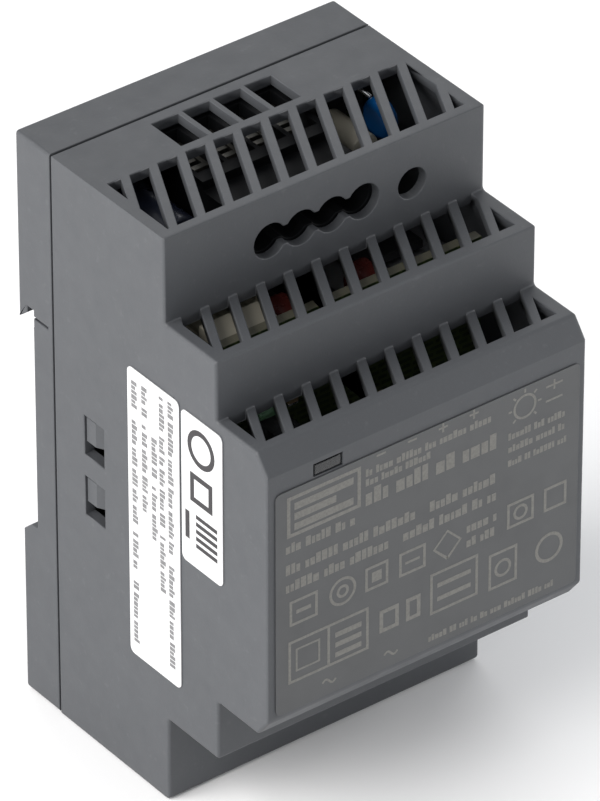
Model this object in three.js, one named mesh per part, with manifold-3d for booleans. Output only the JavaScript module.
// DIN-rail power supply, three modules wide, with a stepped case.
// Lengths are in millimetres and +Z is up. The rail runs along X and the front looks along -Y.
// Pieces are laid out in case coordinates: x from the left side, depth from the back plane
// towards the front, z from the underside. The whole group is then moved so that the origin
// is the middle of the face that rests on the rail.
import * as THREE from 'three';
import { mergeVertices } from 'three/addons/utils/BufferGeometryUtils.js';
import Module from 'manifold-3d';

const wasm = await Module();
wasm.setup();

// ---- driving dimensions -------------------------------------------------------------------

const WIDTH = 52.5;
const HEIGHT = 90;
const MIDDLE = WIDTH / 2;

// Stepped side outline: depth of each step's front, and height of each step's underside.
const BASE_DEPTH = 7.6;
const SEAM = 0.35;
const STEP_1_DEPTH = 32.5;
const STEP_2_DEPTH = 43.5;
const CHAMFER_DEPTH = 52;
const PANEL_DEPTH = 54.3;
const STEP_1_RISE = 13.2;
const STEP_2_RISE = 22.5;
const CHAMFER_RISE = 25.5;
const WALL = 1.6;
const THIN_WALL = 1.5;

// Top-hat rail: 35 mm wide, its edge hooked behind the upper lip. Both ends of the recess slope.
const SEAT_DEPTH = 3.1;
const LIP_DEPTH = 2.0;
const RECESS_LOW = 26.2;
const RECESS_SILL = 28.0;
const SEAT_HIGH = 60.5;
const RECESS_LIP = 60.8;
const RECESS_HIGH = 63.3;

// Slanted cooling slots, one family of parallel planes cut through every step.
const SLOT_PITCH = 4.52;
const SLOT_WIDTH = 3.1;
const SLOT_SLOPE = 0.5;
const SLOT_START_X = 3.4;
const SLOT_START_DEPTH = 31;
const SLOT_LEFT = 1.9;
const SLOT_RIGHT = 50.3;
const SLOT_FIELDS = [[17.8, 30.8], [STEP_1_DEPTH, 41.6], [STEP_2_DEPTH, 50.5]];

// Screw terminals.
const POLE_PITCH = 5.08;
const OUTPUT_FIRST_X = 17.1;
const OUTPUT_POLES = 4;
const INPUT_FIRST_X = 9.94;
const INPUT_POLES = 2;
const TERMINAL_FRONT = 22;
const GUIDE_FRONT = 30.7;
const GUIDE_RADIUS = 2.35;
const POLE_Z = 82.8;
const ENTRY_WIDTH = 4.3;
const ENTRY_BACK = 9.8;
const ENTRY_FRONT = 16.3;
const DRIVER_RADIUS = 2.6;
const DRIVER_NECK = 1.4;

// Output adjuster.
const ADJUSTER_X = 40.4;
const ADJUSTER_Z = 82.4;
const ADJUSTER_HOLE = 2.3;

// Circuit boards.
const BOARD = 1.6;
const MAIN_BACK = 7.2;
const MAIN_FRONT = MAIN_BACK + BOARD;
const CONTROL_BACK = 36.8;
const CONTROL_FRONT = CONTROL_BACK + BOARD;
const STAND = 0.1;
const PART_BACK = MAIN_FRONT + STAND;

// Rail clip: a foot that slides in a tee-shaped channel and is pulled down to release the rail.
const CLIP_HALF = 8.9;
const CLIP_FLANGE_HALF = 10.5;
const CLIP_BACK = 0.4;
const CLIP_FRONT = 3.2;
const CLIP_FOOT = 0.4;
const CLIP_SHOULDER = 24.6;
const CLIP_TIP = 30;
const SPRING_LOW = 6.6;
const SPRING_HIGH = 20.4;
const SPRING_RADIUS = 1.35;
const SPRING_WIRE = 0.25;
const SPRING_DEPTH = 2.95;
const SPRING_TURNS = 6;

// ---- materials ----------------------------------------------------------------------------

function finish(color, roughness, metalness) {
  return new THREE.MeshStandardMaterial({ color, roughness, metalness });
}

const housingPlastic = finish(0x6b6c70, 0.55, 0);
const clipPlastic = finish(0x2c2d30, 0.5, 0);
const springSteel = finish(0xb8babd, 0.3, 1);
const screwSteel = finish(0xc4c6c9, 0.3, 1);
const tinnedCopper = finish(0xc9c4b4, 0.35, 1);
const copperWire = finish(0xb5622e, 0.35, 1);
const boardLaminate = finish(0x39502f, 0.5, 0);
const sheetFilm = finish(0x202224, 0.4, 0);
const terminalPlastic = finish(0x3a3c3f, 0.5, 0);
const blackResin = finish(0x1b1b1d, 0.45, 0);
const creamPlastic = finish(0xcdc2a4, 0.5, 0);
const ferrite = finish(0x33343a, 0.6, 0);
const tape = finish(0xd8c784, 0.45, 0);
const sleeve = finish(0x1f2433, 0.4, 0);
const yellowResin = finish(0xc9a436, 0.45, 0);
const blueResin = finish(0x1f6ea8, 0.35, 0);
const redResin = finish(0x5c2420, 0.4, 0);
const greenResin = finish(0x2e4a3b, 0.45, 0);
const aluminium = finish(0xb3b5b8, 0.4, 1);
const clearPlastic = finish(0x4b4f52, 0.15, 0);
const greyFilm = finish(0x66686c, 0.4, 0);
const whitePaper = finish(0xe6e7e8, 0.6, 0);

// ---- solids -------------------------------------------------------------------------------

function solidOf(geometry) {
  geometry.deleteAttribute('normal');
  geometry.deleteAttribute('uv');
  const merged = mergeVertices(geometry, 1e-4);
  const mesh = new wasm.Mesh({
    numProp: 3,
    vertProperties: Float32Array.from(merged.attributes.position.array),
    triVerts: Uint32Array.from(merged.index.array),
  });
  return new wasm.Manifold(mesh);
}

function join(first, ...others) {
  return others.reduce((sum, other) => sum.add(other), first);
}

function cut(first, ...tools) {
  return tools.reduce((rest, tool) => rest.subtract(tool), first);
}

// Box between two x values, two depths and two heights.
function box(x0, x1, d0, d1, z0, z1) {
  const geometry = new THREE.BoxGeometry(x1 - x0, d1 - d0, z1 - z0);
  geometry.translate((x0 + x1) / 2, -(d0 + d1) / 2, (z0 + z1) / 2);
  return solidOf(geometry);
}

function extrude(points, length, basis, shift) {
  const shape = new THREE.Shape(points.map(([u, v]) => new THREE.Vector2(u, v)));
  const geometry = new THREE.ExtrudeGeometry(shape, { depth: length, bevelEnabled: false });
  const [first, second, third] = basis.map((axis) => new THREE.Vector3(...axis));
  geometry.applyMatrix4(new THREE.Matrix4().makeBasis(first, second, third));
  geometry.translate(...shift);
  return solidOf(geometry);
}

// Side outline of [depth, z] points, swept along x.
function sweepX(points, x0, x1) {
  const outline = points.map(([depth, z]) => [-depth, z]);
  return extrude(outline, x1 - x0, [[0, 1, 0], [0, 0, 1], [1, 0, 0]], [x0, 0, 0]);
}

// Plan outline of [x, depth] points, swept along z.
function sweepZ(points, z0, z1) {
  const outline = points.map(([x, depth]) => [x, -depth]);
  return extrude(outline, z1 - z0, [[1, 0, 0], [0, 1, 0], [0, 0, 1]], [0, 0, z0]);
}

// Round bar along the depth direction.
function rod(x, z, radius, d0, d1, sides = 16) {
  const geometry = new THREE.CylinderGeometry(radius, radius, d1 - d0, sides);
  geometry.translate(x, -(d0 + d1) / 2, z);
  return solidOf(geometry);
}

// Round bar or disc standing along z.
function disc(x, depth, radius, z0, z1, sides = 20) {
  const geometry = new THREE.CylinderGeometry(radius, radius, z1 - z0, sides);
  geometry.rotateX(Math.PI / 2);
  geometry.translate(x, -depth, (z0 + z1) / 2);
  return solidOf(geometry);
}

// Turned solid along the depth direction, from a profile of [radius, depth] points that
// starts and ends on the axis and runs from the back to the front.
function turned(x, z, profile, sides = 18) {
  const points = profile.map(([radius, depth]) => new THREE.Vector2(radius, -depth)).reverse();
  const geometry = new THREE.LatheGeometry(points, sides);
  geometry.translate(x, 0, z);
  return solidOf(geometry);
}

const group = new THREE.Group();

function place(name, material, solid) {
  const { vertProperties, triVerts } = solid.getMesh();
  const geometry = new THREE.BufferGeometry();
  geometry.setAttribute('position', new THREE.BufferAttribute(vertProperties, 3));
  geometry.setIndex(new THREE.BufferAttribute(triVerts, 1));
  geometry.computeVertexNormals();
  const mesh = new THREE.Mesh(geometry, material);
  mesh.name = name;
  group.add(mesh);
}

function outputPoleX(index) {
  return OUTPUT_FIRST_X + index * POLE_PITCH;
}

function inputPoleX(index) {
  return INPUT_FIRST_X + index * 2 * POLE_PITCH;
}

function indices(count) {
  return Array.from({ length: count }, (_, index) => index);
}

// ---- case ---------------------------------------------------------------------------------

// Upper half of the outline, front wall first; the lower half is its mirror image.
function steppedOutline(back, inset) {
  const upper = [
    [back, HEIGHT - inset],
    [STEP_1_DEPTH - inset, HEIGHT - inset],
    [STEP_1_DEPTH - inset, HEIGHT - STEP_1_RISE - inset],
    [STEP_2_DEPTH - inset, HEIGHT - STEP_1_RISE - inset],
    [STEP_2_DEPTH - inset, HEIGHT - STEP_2_RISE - inset],
    [CHAMFER_DEPTH - inset / 2, HEIGHT - STEP_2_RISE - inset],
    [PANEL_DEPTH - inset, HEIGHT - CHAMFER_RISE - inset / 2],
  ];
  const lower = upper.map(([depth, z]) => [depth, HEIGHT - z]).reverse();
  return [...upper, ...lower];
}

function coolingSlots() {
  const slots = [];
  for (const [back, front] of SLOT_FIELDS) {
    const field = box(SLOT_LEFT, SLOT_RIGHT, back, front, -1, HEIGHT + 1);
    for (let k = -2; k <= 13; k += 1) {
      const left = (depth) => SLOT_START_X + k * SLOT_PITCH - (depth - SLOT_START_DEPTH) * SLOT_SLOPE;
      const slanted = sweepZ([
        [left(back), back],
        [left(back) + SLOT_WIDTH, back],
        [left(front) + SLOT_WIDTH, front],
        [left(front), front],
      ], -1, HEIGHT + 1);
      const slot = slanted.intersect(field);
      if (slot.volume() > HEIGHT) {
        slots.push(slot);
      }
    }
  }
  return slots;
}

// Snap windows in a side wall; both sides have the same pair.
const SNAP_BACK = 14.4;
const SNAP_FRONT = 18.8;
const SNAP_WINDOWS = [[36.7, 42.9], [46.4, 52.6]];
const LAMP_LEFT = 7.5;
const LAMP_RIGHT = 12.2;
const LAMP_LOW = 61.7;
const LAMP_HIGH = 63.7;

function frontHousing() {
  const back = BASE_DEPTH + SEAM;
  const outer = sweepX(steppedOutline(back, 0), 0, WIDTH);
  const inner = sweepX(steppedOutline(back - 1, THIN_WALL), WALL, WIDTH - WALL);
  const tools = coolingSlots();
  for (const [low, high] of SNAP_WINDOWS) {
    tools.push(box(-1, WIDTH + 1, SNAP_BACK, SNAP_FRONT, low, high));
  }
  const roof = [HEIGHT - THIN_WALL - 0.5, HEIGHT + 1];
  const floor = [-1, THIN_WALL + 0.5];
  const front = [STEP_1_DEPTH - THIN_WALL - 0.5, STEP_1_DEPTH + 1];
  for (const index of indices(OUTPUT_POLES)) {
    const x = outputPoleX(index);
    tools.push(box(x - ENTRY_WIDTH / 2, x + ENTRY_WIDTH / 2, ENTRY_BACK, ENTRY_FRONT, ...roof));
    tools.push(rod(x, POLE_Z, DRIVER_RADIUS, ...front, 24));
  }
  for (const index of indices(INPUT_POLES)) {
    const x = inputPoleX(index);
    tools.push(box(x - ENTRY_WIDTH / 2, x + ENTRY_WIDTH / 2, ENTRY_BACK, ENTRY_FRONT, ...floor));
    tools.push(rod(x, HEIGHT - POLE_Z, DRIVER_RADIUS, ...front, 24));
  }
  tools.push(box(outputPoleX(0), outputPoleX(OUTPUT_POLES - 1), ...front,
    POLE_Z - DRIVER_NECK, POLE_Z + DRIVER_NECK));
  tools.push(rod(ADJUSTER_X, ADJUSTER_Z, ADJUSTER_HOLE, ...front, 24));
  tools.push(box(LAMP_LEFT, LAMP_RIGHT, PANEL_DEPTH - THIN_WALL - 0.5, PANEL_DEPTH + 1,
    LAMP_LOW, LAMP_HIGH));
  return cut(outer, inner, ...tools);
}

// Rim inside the housing wall, and the snap hooks that reach into the side windows.
const RIM_INSET = 1.9;
const RIM = 1.0;
const RIM_FRONT = 8.8;
const HOOK_FRONT = 18.4;
const HOOK_CATCH = 14.6;
const HOOK_NOSE = 0.3;
const HOOK_GAP = 0.3;
const SLIT_FRONT = 6.6;
const SLIT_LOW = 62;
const SLIT_HIGH = 62.35;

function snapHooks() {
  const inner = RIM_INSET + RIM;
  const outline = [
    [RIM_INSET, BASE_DEPTH - 3],
    [inner, BASE_DEPTH - 3],
    [inner, HOOK_FRONT],
    [1.3, HOOK_FRONT],
    [HOOK_NOSE, HOOK_CATCH + 2],
    [HOOK_NOSE, HOOK_CATCH],
    [RIM_INSET, HOOK_CATCH],
  ];
  const mirrored = outline.map(([x, depth]) => [WIDTH - x, depth]);
  const hooks = [];
  for (const [low, high] of SNAP_WINDOWS) {
    hooks.push(sweepZ(outline, low + 2.1, high - HOOK_GAP));
    hooks.push(sweepZ(mirrored, low + 2.1, high - HOOK_GAP));
  }
  return hooks;
}

function rearBase() {
  const right = WIDTH - WALL;
  const recess = sweepX([
    [-1, RECESS_LOW],
    [0, RECESS_LOW],
    [LIP_DEPTH, RECESS_SILL],
    [SEAT_DEPTH, RECESS_SILL],
    [SEAT_DEPTH, SEAT_HIGH],
    [SEAT_DEPTH + 0.3, SEAT_HIGH],
    [SEAT_DEPTH + 0.3, RECESS_HIGH],
    [LIP_DEPTH, RECESS_HIGH],
    [LIP_DEPTH, RECESS_LIP + 1.5],
    [0.3, RECESS_LIP + 0.1],
    [0, RECESS_LIP],
    [-1, RECESS_LIP],
  ], -1, WIDTH + 1);
  const seatBack = SEAT_DEPTH + THIN_WALL;
  const channelLeft = MIDDLE - 12.4;
  const channelRight = MIDDLE + 12.4;
  const pockets = [
    box(WALL, right, WALL, 9, RECESS_HIGH + 1.8, HEIGHT - WALL),
    box(WALL, right, seatBack, 9, RECESS_LOW - 1.8, RECESS_HIGH + 2),
    box(WALL, channelLeft, WALL, 9, WALL, RECESS_LOW - 1.6),
    box(channelRight, right, WALL, 9, WALL, RECESS_LOW - 1.6),
    cut(box(channelLeft - 1, channelRight + 1, 5.0, 9, WALL, RECESS_LOW - 1.6),
      box(MIDDLE - 3.6, MIDDLE + 3.6, 4, 6.3, 0, 22.6)),
  ];
  const rim = cut(
    box(RIM_INSET, WIDTH - RIM_INSET, BASE_DEPTH - 1.5, RIM_FRONT, RIM_INSET, HEIGHT - RIM_INSET),
    box(RIM_INSET + RIM, WIDTH - RIM_INSET - RIM, 0, 12,
      RIM_INSET + RIM, HEIGHT - RIM_INSET - RIM),
  );
  const rimFoot = cut(
    box(WALL - 0.2, WIDTH - WALL + 0.2, BASE_DEPTH - 2.5, BASE_DEPTH - 1.2,
      WALL - 0.2, HEIGHT - WALL + 0.2),
    box(RIM_INSET + RIM, WIDTH - RIM_INSET - RIM, 0, 12,
      RIM_INSET + RIM, HEIGHT - RIM_INSET - RIM),
  );
  const channel = join(
    box(MIDDLE - CLIP_FLANGE_HALF - 0.35, MIDDLE + CLIP_FLANGE_HALF + 0.35,
      1.9, CLIP_FRONT + 0.3, -1, RECESS_SILL + 1),
    box(MIDDLE - CLIP_HALF - 0.35, MIDDLE + CLIP_HALF + 0.35, -1, 2.2, -1, RECESS_SILL + 1),
    box(MIDDLE - 1.9, MIDDLE + 1.9, 3, 4.9, 6.5, 20.9),
  );
  const post = box(MIDDLE - 1.5, MIDDLE + 1.5, 1.3, CLIP_FRONT + 0.6, 4.7, 6.4);
  const slits = [[-1, 0.6], [WIDTH - 0.6, WIDTH + 1]].map(([left, rightEnd]) => (
    box(left, rightEnd, SEAT_DEPTH, SLIT_FRONT, SLIT_LOW, SLIT_HIGH)));
  const shell = cut(box(0, WIDTH, 0, BASE_DEPTH, 0, HEIGHT), recess, ...pockets, ...slits);
  return join(cut(join(shell, rimFoot, rim), channel), post, ...snapHooks());
}

place('rear_base', housingPlastic, rearBase());
place('front_housing', housingPlastic, frontHousing());

// ---- rail clip and its spring -------------------------------------------------------------

function railClip() {
  const flange = box(MIDDLE - CLIP_FLANGE_HALF, MIDDLE + CLIP_FLANGE_HALF,
    2.2, CLIP_FRONT, CLIP_FOOT, CLIP_SHOULDER);
  const plate = sweepX([
    [CLIP_BACK, CLIP_FOOT],
    [2.3, CLIP_FOOT],
    [2.3, CLIP_SHOULDER],
    [1.75, CLIP_SHOULDER],
    [1.75, CLIP_TIP],
    [1.3, CLIP_TIP],
    [CLIP_BACK, CLIP_TIP - 2.6],
  ], MIDDLE - CLIP_HALF, MIDDLE + CLIP_HALF);
  const springWindow = box(MIDDLE - 2.05, MIDDLE + 2.05, -1, 5, 4.3, SPRING_HIGH + 0.2);
  const driverSlot = box(MIDDLE - 3, MIDDLE + 3, -1, 5, 1.5, 2.9);
  return cut(join(flange, plate), springWindow, driverSlot);
}

class Helix extends THREE.Curve {
  getPoint(t, target = new THREE.Vector3()) {
    const angle = 2 * Math.PI * SPRING_TURNS * t;
    const low = SPRING_LOW + SPRING_WIRE;
    const high = SPRING_HIGH - SPRING_WIRE;
    return target.set(
      MIDDLE + SPRING_RADIUS * Math.cos(angle),
      -SPRING_DEPTH + SPRING_RADIUS * Math.sin(angle),
      low + (high - low) * t,
    );
  }
}

function clipSpring() {
  const section = new THREE.Shape();
  const sides = 6;
  for (let side = 0; side < sides; side += 1) {
    const angle = (2 * Math.PI * side) / sides;
    const point = [SPRING_WIRE * Math.cos(angle), SPRING_WIRE * Math.sin(angle)];
    if (side === 0) {
      section.moveTo(...point);
    } else {
      section.lineTo(...point);
    }
  }
  section.closePath();
  const steps = SPRING_TURNS * 10;
  return solidOf(new THREE.ExtrudeGeometry(section, { steps, extrudePath: new Helix() }));
}

place('rail_clip', clipPlastic, railClip());
place('clip_spring', springSteel, clipSpring());

// ---- boards -------------------------------------------------------------------------------

const BOARD_EDGE = 3.25;

function mainBoard() {
  const plate = box(BOARD_EDGE, WIDTH - BOARD_EDGE, MAIN_BACK, MAIN_FRONT, BOARD_EDGE, HEIGHT - BOARD_EDGE);
  const holes = [6.2, WIDTH - 6.2].map((x) => rod(x, 71.5, 1.6, 0, 20));
  return cut(plate, ...holes);
}

function controlBoard() {
  return box(5, 47.5, CONTROL_BACK, CONTROL_FRONT, 15.8, 74.4);
}

// Pin strip that joins the two boards.
function boardHeader() {
  const pins = indices(5).map((index) => {
    const x = 38.2 + index * 2.54;
    return box(x - 0.32, x + 0.32, PART_BACK, CONTROL_BACK - STAND, 17.9, 18.54);
  });
  return join(
    box(36.9, 49.7, PART_BACK, 11.4, 17, 19.5),
    box(36.9, 49.7, 34.6, CONTROL_BACK - STAND, 17, 19.5),
    ...pins,
  );
}

place('insulation_sheet', sheetFilm, box(3.4, 49.1, 6.5, 6.8, 3.4, 86.6));
place('main_board', boardLaminate, mainBoard());
place('control_board', boardLaminate, controlBoard());
place('board_header', blackResin, boardHeader());

// ---- screw terminals ----------------------------------------------------------------------

// A pole is drawn for the upper terminal row; the lower row is the same pole upside down.
const upright = (z) => z;
const inverted = (z) => HEIGHT - z;

function poleBox(flip, x0, x1, d0, d1, z0, z1) {
  const [low, high] = [flip(z0), flip(z1)].sort((a, b) => a - b);
  return box(x0, x1, d0, d1, low, high);
}

// The front of the body is a block of driver guides, joined by a neck where the poles are close.
function terminalBody(flip, poles, left, right) {
  const body = join(
    poleBox(flip, left, right, PART_BACK, TERMINAL_FRONT, 76, 87.6),
    poleBox(flip, left, right, TERMINAL_FRONT - 1, GUIDE_FRONT, 79.4, 86.2),
  );
  const tools = poles.flatMap((x) => [
    poleBox(flip, x - ENTRY_WIDTH / 2, x + ENTRY_WIDTH / 2, 9.7, 19.8, 77.4, 89),
    poleBox(flip, x - 1.1, x + 1.1, 8, 10, 77.4, 79.2),
    rod(x, flip(POLE_Z), GUIDE_RADIUS, 18, 32, 24),
  ]);
  if (poles[1] - poles[0] < 2 * POLE_PITCH) {
    tools.push(poleBox(flip, poles[0], poles[poles.length - 1], 24, 32,
      POLE_Z - DRIVER_NECK, POLE_Z + DRIVER_NECK));
  }
  return cut(body, ...tools);
}

// Slotted screw; its tip bears on the contact bar.
function terminalScrew(flip, x) {
  const screw = turned(x, flip(POLE_Z), [
    [0, 15.6],
    [0.9, 15.6],
    [1.2, 16.0],
    [1.2, 20.1],
    [1.9, 20.1],
    [1.9, 21.4],
    [1.6, 21.7],
    [0, 21.7],
  ], 16);
  return cut(screw, poleBox(flip, x - 3, x + 3, 20.9, 23, POLE_Z - 0.35, POLE_Z + 0.35));
}

// Clamp cage: a short rectangular tube around the contact bar, threaded on the screw.
function terminalCage(flip, x) {
  return cut(
    poleBox(flip, x - 2, x + 2, 10.3, 16.9, 79.8, 85.8),
    poleBox(flip, x - 1.4, x + 1.4, 11.1, 16.0, 79, 87),
    rod(x, flip(POLE_Z), 1.35, 15.5, 18),
  );
}

function terminalContact(flip, x) {
  return join(
    poleBox(flip, x - 1, x + 1, 14.6, 15.4, 78, 86.0),
    poleBox(flip, x - 1, x + 1, PART_BACK, 15.4, 78, 78.8),
  );
}

function placeTerminals(prefix, flip, poles, left, right) {
  place(`${prefix}_terminal_body`, terminalPlastic, terminalBody(flip, poles, left, right));
  poles.forEach((x, index) => {
    const number = index + 1;
    place(`${prefix}_screw_${number}`, screwSteel, terminalScrew(flip, x));
    place(`${prefix}_cage_${number}`, tinnedCopper, terminalCage(flip, x));
    place(`${prefix}_contact_${number}`, tinnedCopper, terminalContact(flip, x));
  });
}

placeTerminals('output', upright, indices(OUTPUT_POLES).map(outputPoleX), 14.1, 35.4);
placeTerminals('input', inverted, indices(INPUT_POLES).map(inputPoleX), 6.4, 23.6);

// ---- output adjuster ----------------------------------------------------------------------

function adjusterBody() {
  return cut(
    box(ADJUSTER_X - 3.3, ADJUSTER_X + 3.3, PART_BACK, 14.2, ADJUSTER_Z - 3.3, ADJUSTER_Z + 3.3),
    rod(ADJUSTER_X, ADJUSTER_Z, 2.0, 12.6, 15),
  );
}

function adjusterRotor() {
  const rotor = turned(ADJUSTER_X, ADJUSTER_Z, [
    [0, 12.8],
    [1.75, 12.8],
    [1.75, 14.5],
    [2.3, 14.5],
    [2.3, 22.2],
    [2.0, 22.5],
    [0, 22.5],
  ], 16);
  return cut(rotor, box(ADJUSTER_X - 4, ADJUSTER_X + 4, 21.5, 23, ADJUSTER_Z - 0.4, ADJUSTER_Z + 0.4));
}

place('trimmer_body', blackResin, adjusterBody());
place('trimmer_rotor', creamPlastic, adjusterRotor());

// ---- transformer --------------------------------------------------------------------------

// Winding axis along x, ferrite frame in the x-depth plane.
const CORE = { left: 4.2, right: 29.2, back: 9.6, front: 35.6, low: 49, high: 59 };
const LEG = { back: 18.6, front: 26.6 };

function transformerCore() {
  const yoke = 4;
  const outerLeg = 3.3;
  const through = [CORE.low - 1, CORE.high + 1];
  const sides = [CORE.left + yoke, CORE.right - yoke];
  return cut(
    box(CORE.left, CORE.right, CORE.back, CORE.front, CORE.low, CORE.high),
    box(...sides, CORE.back + outerLeg, LEG.back, ...through),
    box(...sides, LEG.front, CORE.front - outerLeg, ...through),
  );
}

function transformerBobbin() {
  const back = 13.2;
  const front = 32;
  const flanges = [8.5, 24.1].map((x) => box(x, x + 0.8, back, front, 40.5, 67.5));
  const rails = [[40, 46.5], [61.5, 68]].map(([low, high]) => (
    box(8.5, 24.9, PART_BACK, back + 0.2, low, high)));
  const tube = box(8.5, 24.9, LEG.back - 1, LEG.front + 1, CORE.low - 1, CORE.high + 1);
  const bore = box(8, 25.5, LEG.back - 0.3, LEG.front + 0.3, CORE.low - 0.3, CORE.high + 0.3);
  return cut(join(...flanges, ...rails, tube), bore);
}

function transformerWinding() {
  const corner = 2.5;
  const [back, front, low, high] = [13.6, 31.6, 41.5, 66.5];
  const outline = [
    [back + corner, low],
    [front - corner, low],
    [front, low + corner],
    [front, high - corner],
    [front - corner, high],
    [back + corner, high],
    [back, high - corner],
    [back, low + corner],
  ];
  const bore = box(8, 25.5, LEG.back - 1.3, LEG.front + 1.3, CORE.low - 1.3, CORE.high + 1.3);
  return cut(sweepX(outline, 9.6, 23.8), bore);
}

place('transformer_core', ferrite, transformerCore());
place('transformer_bobbin', blackResin, transformerBobbin());
place('transformer_winding', tape, transformerWinding());

// ---- capacitors ---------------------------------------------------------------------------

// Aluminium electrolytic can: a crimped groove near the board and a rounded front edge.
function can(x, z, radius, front) {
  return turned(x, z, [
    [0, PART_BACK],
    [radius, PART_BACK],
    [radius, PART_BACK + 1],
    [radius - 0.5, PART_BACK + 1.6],
    [radius, PART_BACK + 2.2],
    [radius, front - 0.5],
    [radius - 0.5, front],
    [0, front],
  ]);
}

function discOnLegs(x, depth, radius, z0, z1) {
  const middle = (z0 + z1) / 2;
  const legs = [x - 2.2, x + 2.2].map((legX) => rod(legX, middle, 0.3, PART_BACK, depth, 8));
  return join(disc(x, depth, radius, z0, z1), ...legs);
}

// Disc that stands on its edge, facing sideways.
function discOnEdge(x0, x1, depth, z, radius) {
  const geometry = new THREE.CylinderGeometry(radius, radius, x1 - x0, 20);
  geometry.rotateZ(Math.PI / 2);
  geometry.translate((x0 + x1) / 2, -depth, z);
  const legs = [z - 2.2, z + 2.2].map((legZ) => rod((x0 + x1) / 2, legZ, 0.3, PART_BACK, depth, 8));
  return join(solidOf(geometry), ...legs);
}

place('bulk_capacitor', sleeve, can(41, 31.5, 8, 35));
place('output_capacitor_1', sleeve, can(44.6, 47, 5, 30));
place('output_capacitor_2', sleeve, can(44.6, 58, 5, 30));
place('output_capacitor_3', sleeve, can(8.6, 80.6, 4.4, 24));
place('interference_capacitor', yellowResin, box(4, 21, PART_BACK, 24, 15.8, 24.2));
place('safety_capacitor', blueResin, discOnEdge(43.2, 45.8, 20.5, 84.8, 3.0));
place('film_capacitor_1', redResin, box(15.9, 20, 31.5, CONTROL_BACK - STAND, 69.6, 73.8));
place('film_capacitor_2', redResin, box(29.4, 33.4, 31.5, CONTROL_BACK - STAND, 69.6, 73.8));

// ---- chokes -------------------------------------------------------------------------------

const CHOKE = { x: 28.3, z: 22.3, outer: 5.6, inner: 3, back: 11, front: 17 };

function ring(outer, inner, back, front) {
  return cut(
    rod(CHOKE.x, CHOKE.z, outer, back, front, 24),
    rod(CHOKE.x, CHOKE.z, inner, back - 1, front + 1, 24),
  );
}

function chokeWinding(side) {
  const wrap = cut(
    ring(CHOKE.outer + 0.9, CHOKE.inner - 0.9, CHOKE.back - 0.9, CHOKE.front + 0.9),
    ring(CHOKE.outer + 0.3, CHOKE.inner - 0.3, CHOKE.back - 0.3, CHOKE.front + 0.3),
  );
  const half = side < 0
    ? box(CHOKE.x - 9, CHOKE.x - 1.4, 0, 30, CHOKE.z - 9, CHOKE.z + 9)
    : box(CHOKE.x + 1.4, CHOKE.x + 9, 0, 30, CHOKE.z - 9, CHOKE.z + 9);
  return wrap.intersect(half);
}

place('choke_core', ferrite, ring(CHOKE.outer, CHOKE.inner, CHOKE.back, CHOKE.front));
place('choke_winding_left', copperWire, chokeWinding(-1));
place('choke_winding_right', copperWire, chokeWinding(1));
place('output_choke', copperWire, turned(35.6, 46, [
  [0, PART_BACK],
  [3.9, PART_BACK],
  [3.9, 10.6],
  [3.2, 10.6],
  [3.2, 20.4],
  [3.9, 20.4],
  [3.9, 22],
  [0, 22],
]));

// ---- input protection and power semiconductors --------------------------------------------

place('fuse', blackResin, box(26.2, 34.6, PART_BACK, 17, 4, 8));
place('varistor', blueResin, discOnLegs(43, 16, 4.5, 4.2, 7.4));
place('thermistor', greenResin, discOnLegs(43, 16, 4.5, 9.3, 12.8));
place('bridge_rectifier', blackResin, box(6, 20, PART_BACK, 22, 25.2, 28.7));

// Finned plate, with one fin folded over at its front edge.
function heatSink(left, right, z, front) {
  return join(
    box(left, right, PART_BACK, front, z, z + 1.8),
    box(left, right, front - 1.8, front, z, z + 3.6),
  );
}

// Flat package: resin body, with a thinner metal tab towards the front.
function powerPackage(left, z) {
  return join(
    box(left, left + 10.2, 12, 21.2, z, z + 4.4),
    box(left, left + 10.2, 21, 27.6, z, z + 1.3),
    ...indices(3).map((index) => {
      const x = left + 2.56 + index * 2.54;
      return box(x - 0.4, x + 0.4, PART_BACK, 12.2, z + 1.8, z + 2.4);
    }),
  );
}

place('primary_heat_sink', aluminium, heatSink(4, 24.4, 29, 34));
place('power_transistor', blackResin, powerPackage(8, 31.1));
place('secondary_heat_sink', aluminium, heatSink(31, 49.6, 65.3, 34));
place('output_rectifier', blackResin, powerPackage(36, 67.4));

// ---- control parts and status lamp --------------------------------------------------------

const LAMP_FIT = 0.2;

place('control_chip', blackResin, box(20, 25.2, CONTROL_FRONT + STAND, 40.5, 50, 54));
place('optocoupler', creamPlastic, box(5.6, 15.2, 32.2, CONTROL_BACK - STAND, 69.4, 74.2));
place('indicator_lamp', clearPlastic,
  box(8.4, 11.3, CONTROL_FRONT + STAND, 41.6, 61.4, 64));
place('indicator_window', clearPlastic, box(LAMP_LEFT + LAMP_FIT, LAMP_RIGHT - LAMP_FIT,
  42, PANEL_DEPTH - 0.1, LAMP_LOW + LAMP_FIT, LAMP_HIGH - LAMP_FIT));

// ---- labels -------------------------------------------------------------------------------

const FILM_GAP = 0.02;
const FILM = 0.18;

place('front_label', greyFilm,
  box(1.2, 51.3, PANEL_DEPTH + FILM_GAP, PANEL_DEPTH + FILM_GAP + FILM, 26.2, 61.5));
place('side_label_large', whitePaper, box(-FILM_GAP - FILM, -FILM_GAP, 24.4, 35.6, 20.2, 66.3));
place('side_label_small', whitePaper, box(-FILM_GAP - FILM, -FILM_GAP, 36.1, 44.9, 42.1, 65.9));

group.position.set(-MIDDLE, SEAT_DEPTH, -HEIGHT / 2);

export default group;
